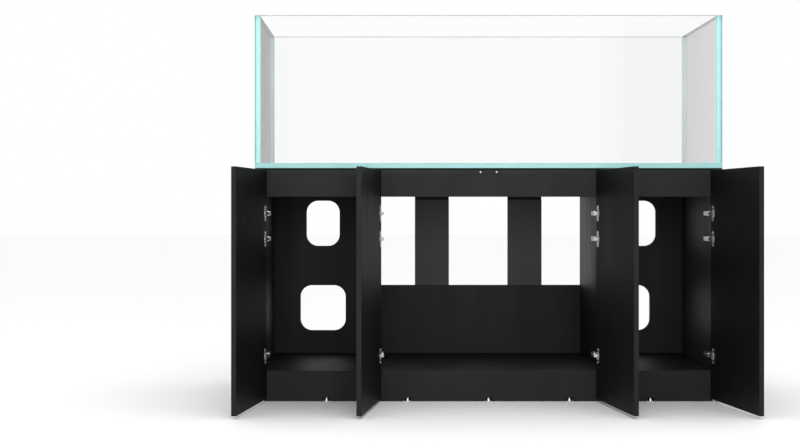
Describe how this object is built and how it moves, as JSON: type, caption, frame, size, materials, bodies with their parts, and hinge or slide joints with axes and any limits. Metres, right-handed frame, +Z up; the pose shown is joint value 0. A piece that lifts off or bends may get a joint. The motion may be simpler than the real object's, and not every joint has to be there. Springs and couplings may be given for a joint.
{
  "type": "aquarium on stand",
  "caption": "Long rimless glass aquarium on a flat black cabinet with handle-less doors on cup hinges, standing open, a rear panel with hose holes, and levelling feet.",
  "frame": {"origin": "on the floor, under the middle of the object's box with its doors open as at rest", "axes": "+X to the right along the tank's length as seen from the doors, +Y from the doors to the rear, +Z up"},
  "size_m": [1.8744, 1.0976, 1.488],
  "materials": {
    "black_board": "black melamine-faced board, satin",
    "door_board": "black melamine-faced board with thin edge band, satin",
    "foam_mat": "closed-cell black foam",
    "clear_glass": "clear low-iron glass with polished edges",
    "silicone": "clear silicone sealant",
    "nickel_steel": "nickel-plated pressed steel",
    "zinc_screws": "zinc-plated",
    "latch_sleeve": "moulded plastic",
    "latch_plunger": "pale moulded tip",
    "brass_insert": "turned",
    "nickel_foot": "nickel-plated, turned",
    "dowel_wood": "plain beech"
  },
  "bodies": {
    "cabinet_and_tank": {"bottom_panel": "black_board", "top_rail": "black_board", "centre_rear_panel": "black_board", "rear_top_rail": "black_board", "left_rear_brace": "black_board", "right_rear_brace": "black_board", "left_side_panel": "black_board", "right_side_panel": "black_board", "top_panel": "black_board", "left_partition": "black_board", "right_partition": "black_board", "left_rear_panel": "black_board", "right_rear_panel": "black_board", "kick_rail": "black_board", "rear_kick_rail": "black_board", "leveling_mat": "foam_mat", "bottom_pane": "clear_glass", "front_pane": "clear_glass", "rear_pane": "clear_glass", "left_pane": "clear_glass", "right_pane": "clear_glass", "silicone_seams": "silicone", "hinge_arms": "nickel_steel", "hinge_plates": "nickel_steel", "plate_screws": "zinc_screws", "latch_sleeves": "latch_sleeve", "foot_inserts": "brass_insert", "carcass_dowels": "dowel_wood"},
    "left_outer_links": {"left_outer_hinge_links": "nickel_steel"},
    "left_outer_leaf": {"left_outer_door": "door_board", "left_outer_hinge_cups": "nickel_steel", "left_outer_cup_screws": "zinc_screws"},
    "left_inner_links": {"left_inner_hinge_links": "nickel_steel"},
    "left_inner_leaf": {"left_inner_door": "door_board", "left_inner_hinge_cups": "nickel_steel", "left_inner_cup_screws": "zinc_screws"},
    "right_inner_links": {"right_inner_hinge_links": "nickel_steel"},
    "right_inner_leaf": {"right_inner_door": "door_board", "right_inner_hinge_cups": "nickel_steel", "right_inner_cup_screws": "zinc_screws"},
    "right_outer_links": {"right_outer_hinge_links": "nickel_steel"},
    "right_outer_leaf": {"right_outer_door": "door_board", "right_outer_hinge_cups": "nickel_steel", "right_outer_cup_screws": "zinc_screws"},
    "left_outer_latch": {"left_outer_latch_plunger": "latch_plunger"},
    "left_inner_latch": {"left_inner_latch_plunger": "latch_plunger"},
    "right_inner_latch": {"right_inner_latch_plunger": "latch_plunger"},
    "right_outer_latch": {"right_outer_latch_plunger": "latch_plunger"},
    "front_foot_1": {"front_levelling_foot_1": "nickel_foot"},
    "front_foot_2": {"front_levelling_foot_2": "nickel_foot"},
    "front_foot_3": {"front_levelling_foot_3": "nickel_foot"},
    "front_foot_4": {"front_levelling_foot_4": "nickel_foot"},
    "front_foot_5": {"front_levelling_foot_5": "nickel_foot"},
    "front_foot_6": {"front_levelling_foot_6": "nickel_foot"},
    "front_foot_7": {"front_levelling_foot_7": "nickel_foot"},
    "rear_foot_1": {"rear_levelling_foot_1": "nickel_foot"},
    "rear_foot_2": {"rear_levelling_foot_2": "nickel_foot"},
    "rear_foot_3": {"rear_levelling_foot_3": "nickel_foot"},
    "rear_foot_4": {"rear_levelling_foot_4": "nickel_foot"},
    "rear_foot_5": {"rear_levelling_foot_5": "nickel_foot"}
  },
  "joints": [
    {"name": "left_outer_link_turn", "type": "hinge", "parent": "cabinet_and_tank", "child": "left_outer_links", "pos_m": [-0.8525, -0.0898, 0.451], "axis": [0, 0, 1], "range_deg": [-49.4, 2.1]},
    {"name": "left_outer_door_swing", "type": "hinge", "parent": "left_outer_links", "child": "left_outer_leaf", "pos_m": [-0.85902, -0.12284, 0.451], "axis": [0, 0, 1], "range_deg": [-6, 147.8]},
    {"name": "left_inner_link_turn", "type": "hinge", "parent": "cabinet_and_tank", "child": "left_inner_links", "pos_m": [-0.4125, -0.0938, 0.451], "axis": [0, 0, 1], "range_deg": [-47.6, 2.05]},
    {"name": "left_inner_door_swing", "type": "hinge", "parent": "left_inner_links", "child": "left_inner_leaf", "pos_m": [-0.41833, -0.11911, 0.451], "axis": [0, 0, 1], "range_deg": [-6, 146]},
    {"name": "right_inner_link_turn", "type": "hinge", "parent": "cabinet_and_tank", "child": "right_inner_links", "pos_m": [0.4125, -0.0938, 0.451], "axis": [0, 0, -1], "range_deg": [-47.6, 2.05]},
    {"name": "right_inner_door_swing", "type": "hinge", "parent": "right_inner_links", "child": "right_inner_leaf", "pos_m": [0.41833, -0.11911, 0.451], "axis": [0, 0, -1], "range_deg": [-6, 146]},
    {"name": "right_outer_link_turn", "type": "hinge", "parent": "cabinet_and_tank", "child": "right_outer_links", "pos_m": [0.8525, -0.0898, 0.451], "axis": [0, 0, -1], "range_deg": [-49.4, 2.1]},
    {"name": "right_outer_door_swing", "type": "hinge", "parent": "right_outer_links", "child": "right_outer_leaf", "pos_m": [0.85902, -0.12284, 0.451], "axis": [0, 0, -1], "range_deg": [-6, 147.8]},
    {"name": "left_outer_latch_press", "type": "slide", "parent": "cabinet_and_tank", "child": "left_outer_latch", "axis": [0, 1, 0], "range_m": [0, 0.0015], "stiffness_N_per_m": 600, "springref_m": -0.001},
    {"name": "left_inner_latch_press", "type": "slide", "parent": "cabinet_and_tank", "child": "left_inner_latch", "axis": [0, 1, 0], "range_m": [0, 0.0015], "stiffness_N_per_m": 600, "springref_m": -0.001},
    {"name": "right_inner_latch_press", "type": "slide", "parent": "cabinet_and_tank", "child": "right_inner_latch", "axis": [0, 1, 0], "range_m": [0, 0.0015], "stiffness_N_per_m": 600, "springref_m": -0.001},
    {"name": "right_outer_latch_press", "type": "slide", "parent": "cabinet_and_tank", "child": "right_outer_latch", "axis": [0, 1, 0], "range_m": [0, 0.0015], "stiffness_N_per_m": 600, "springref_m": -0.001},
    {"name": "front_foot_1_travel", "type": "slide", "parent": "cabinet_and_tank", "child": "front_foot_1", "axis": [0, 0, -1], "range_m": [0, 0.01]},
    {"name": "front_foot_2_travel", "type": "slide", "parent": "cabinet_and_tank", "child": "front_foot_2", "axis": [0, 0, -1], "range_m": [0, 0.01]},
    {"name": "front_foot_3_travel", "type": "slide", "parent": "cabinet_and_tank", "child": "front_foot_3", "axis": [0, 0, -1], "range_m": [0, 0.01]},
    {"name": "front_foot_4_travel", "type": "slide", "parent": "cabinet_and_tank", "child": "front_foot_4", "axis": [0, 0, -1], "range_m": [0, 0.01]},
    {"name": "front_foot_5_travel", "type": "slide", "parent": "cabinet_and_tank", "child": "front_foot_5", "axis": [0, 0, -1], "range_m": [0, 0.01]},
    {"name": "front_foot_6_travel", "type": "slide", "parent": "cabinet_and_tank", "child": "front_foot_6", "axis": [0, 0, -1], "range_m": [0, 0.01]},
    {"name": "front_foot_7_travel", "type": "slide", "parent": "cabinet_and_tank", "child": "front_foot_7", "axis": [0, 0, -1], "range_m": [0, 0.01]},
    {"name": "rear_foot_1_travel", "type": "slide", "parent": "cabinet_and_tank", "child": "rear_foot_1", "axis": [0, 0, -1], "range_m": [0, 0.01]},
    {"name": "rear_foot_2_travel", "type": "slide", "parent": "cabinet_and_tank", "child": "rear_foot_2", "axis": [0, 0, -1], "range_m": [0, 0.01]},
    {"name": "rear_foot_3_travel", "type": "slide", "parent": "cabinet_and_tank", "child": "rear_foot_3", "axis": [0, 0, -1], "range_m": [0, 0.01]},
    {"name": "rear_foot_4_travel", "type": "slide", "parent": "cabinet_and_tank", "child": "rear_foot_4", "axis": [0, 0, -1], "range_m": [0, 0.01]},
    {"name": "rear_foot_5_travel", "type": "slide", "parent": "cabinet_and_tank", "child": "rear_foot_5", "axis": [0, 0, -1], "range_m": [0, 0.01]}
  ],
  "couplings": [
    {"joint": "left_outer_link_turn", "follows": "left_outer_door_swing", "ratio": -0.33356},
    {"joint": "left_inner_link_turn", "follows": "left_inner_door_swing", "ratio": -0.32534},
    {"joint": "right_inner_link_turn", "follows": "right_inner_door_swing", "ratio": -0.32534},
    {"joint": "right_outer_link_turn", "follows": "right_outer_door_swing", "ratio": -0.33356}
  ]
}
